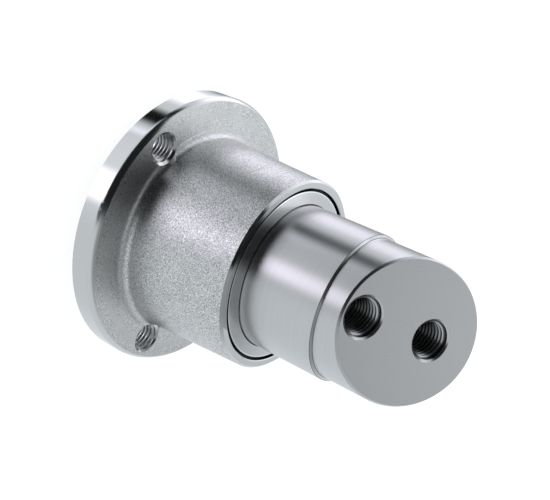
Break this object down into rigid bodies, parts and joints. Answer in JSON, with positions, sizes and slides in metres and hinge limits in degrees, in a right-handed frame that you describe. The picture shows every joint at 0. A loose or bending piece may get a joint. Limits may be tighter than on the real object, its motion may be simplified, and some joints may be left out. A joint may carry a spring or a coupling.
{
  "type": "agricultural hub bearing",
  "caption": "Flanged hub with tapered neck, turning on ball rows around a stepped stub axle whose slanted end face has tapped holes.",
  "frame": {"origin": "centre of the flange's back face, on the hub's axis", "axes": "+Z along the axle's axis, from the flange towards the slanted end; the slanted end face rises towards +Y; +X completes the right-handed set"},
  "size_m": [0.117, 0.117, 0.1326],
  "materials": {
    "forged_steel": "shot-blasted forging with a turned rim, corner and nose",
    "turned_steel": "fine turned and ground, with a milled slanted end",
    "slinger_steel": "smooth pressed sheet",
    "pressed_steel": "zinc-plated pressed sheet",
    "nut_steel": "dark turned steel",
    "bearing_steel": "ground and honed",
    "ball_steel": "lapped",
    "cage_plastic": "moulded glass-filled nylon",
    "seal_rubber": "matt moulded rubber"
  },
  "bodies": {
    "hub": {"flange_hub": "forged_steel", "seal_case": "pressed_steel", "seal_lips": "seal_rubber", "end_cap": "pressed_steel"},
    "axle": {"axle_shaft": "turned_steel", "inner_ring_front": "bearing_steel", "inner_ring_rear": "bearing_steel", "slinger": "slinger_steel", "tab_washer": "pressed_steel", "lock_nut": "nut_steel"},
    "front_row": {"cage_front": "cage_plastic", "ball_front_01": "ball_steel", "ball_front_02": "ball_steel", "ball_front_03": "ball_steel", "ball_front_04": "ball_steel", "ball_front_05": "ball_steel", "ball_front_06": "ball_steel", "ball_front_07": "ball_steel", "ball_front_08": "ball_steel", "ball_front_09": "ball_steel", "ball_front_10": "ball_steel", "ball_front_11": "ball_steel", "ball_front_12": "ball_steel"},
    "rear_row": {"cage_rear": "cage_plastic", "ball_rear_01": "ball_steel", "ball_rear_02": "ball_steel", "ball_rear_03": "ball_steel", "ball_rear_04": "ball_steel", "ball_rear_05": "ball_steel", "ball_rear_06": "ball_steel", "ball_rear_07": "ball_steel", "ball_rear_08": "ball_steel", "ball_rear_09": "ball_steel", "ball_rear_10": "ball_steel", "ball_rear_11": "ball_steel", "ball_rear_12": "ball_steel"}
  },
  "joints": [
    {"name": "axle_spin", "type": "hinge", "parent": "hub", "child": "axle", "pos_m": [0, 0, 0.0305], "axis": [0, 0, 1], "continuous": true},
    {"name": "front_row_spin", "type": "hinge", "parent": "hub", "child": "front_row", "pos_m": [0, 0, 0.04], "axis": [0, 0, 1], "continuous": true},
    {"name": "rear_row_spin", "type": "hinge", "parent": "hub", "child": "rear_row", "pos_m": [0, 0, 0.021], "axis": [0, 0, 1], "continuous": true}
  ],
  "couplings": [
    {"joint": "front_row_spin", "follows": "axle_spin", "ratio": 0.42786},
    {"joint": "rear_row_spin", "follows": "axle_spin", "ratio": 0.42786}
  ]
}
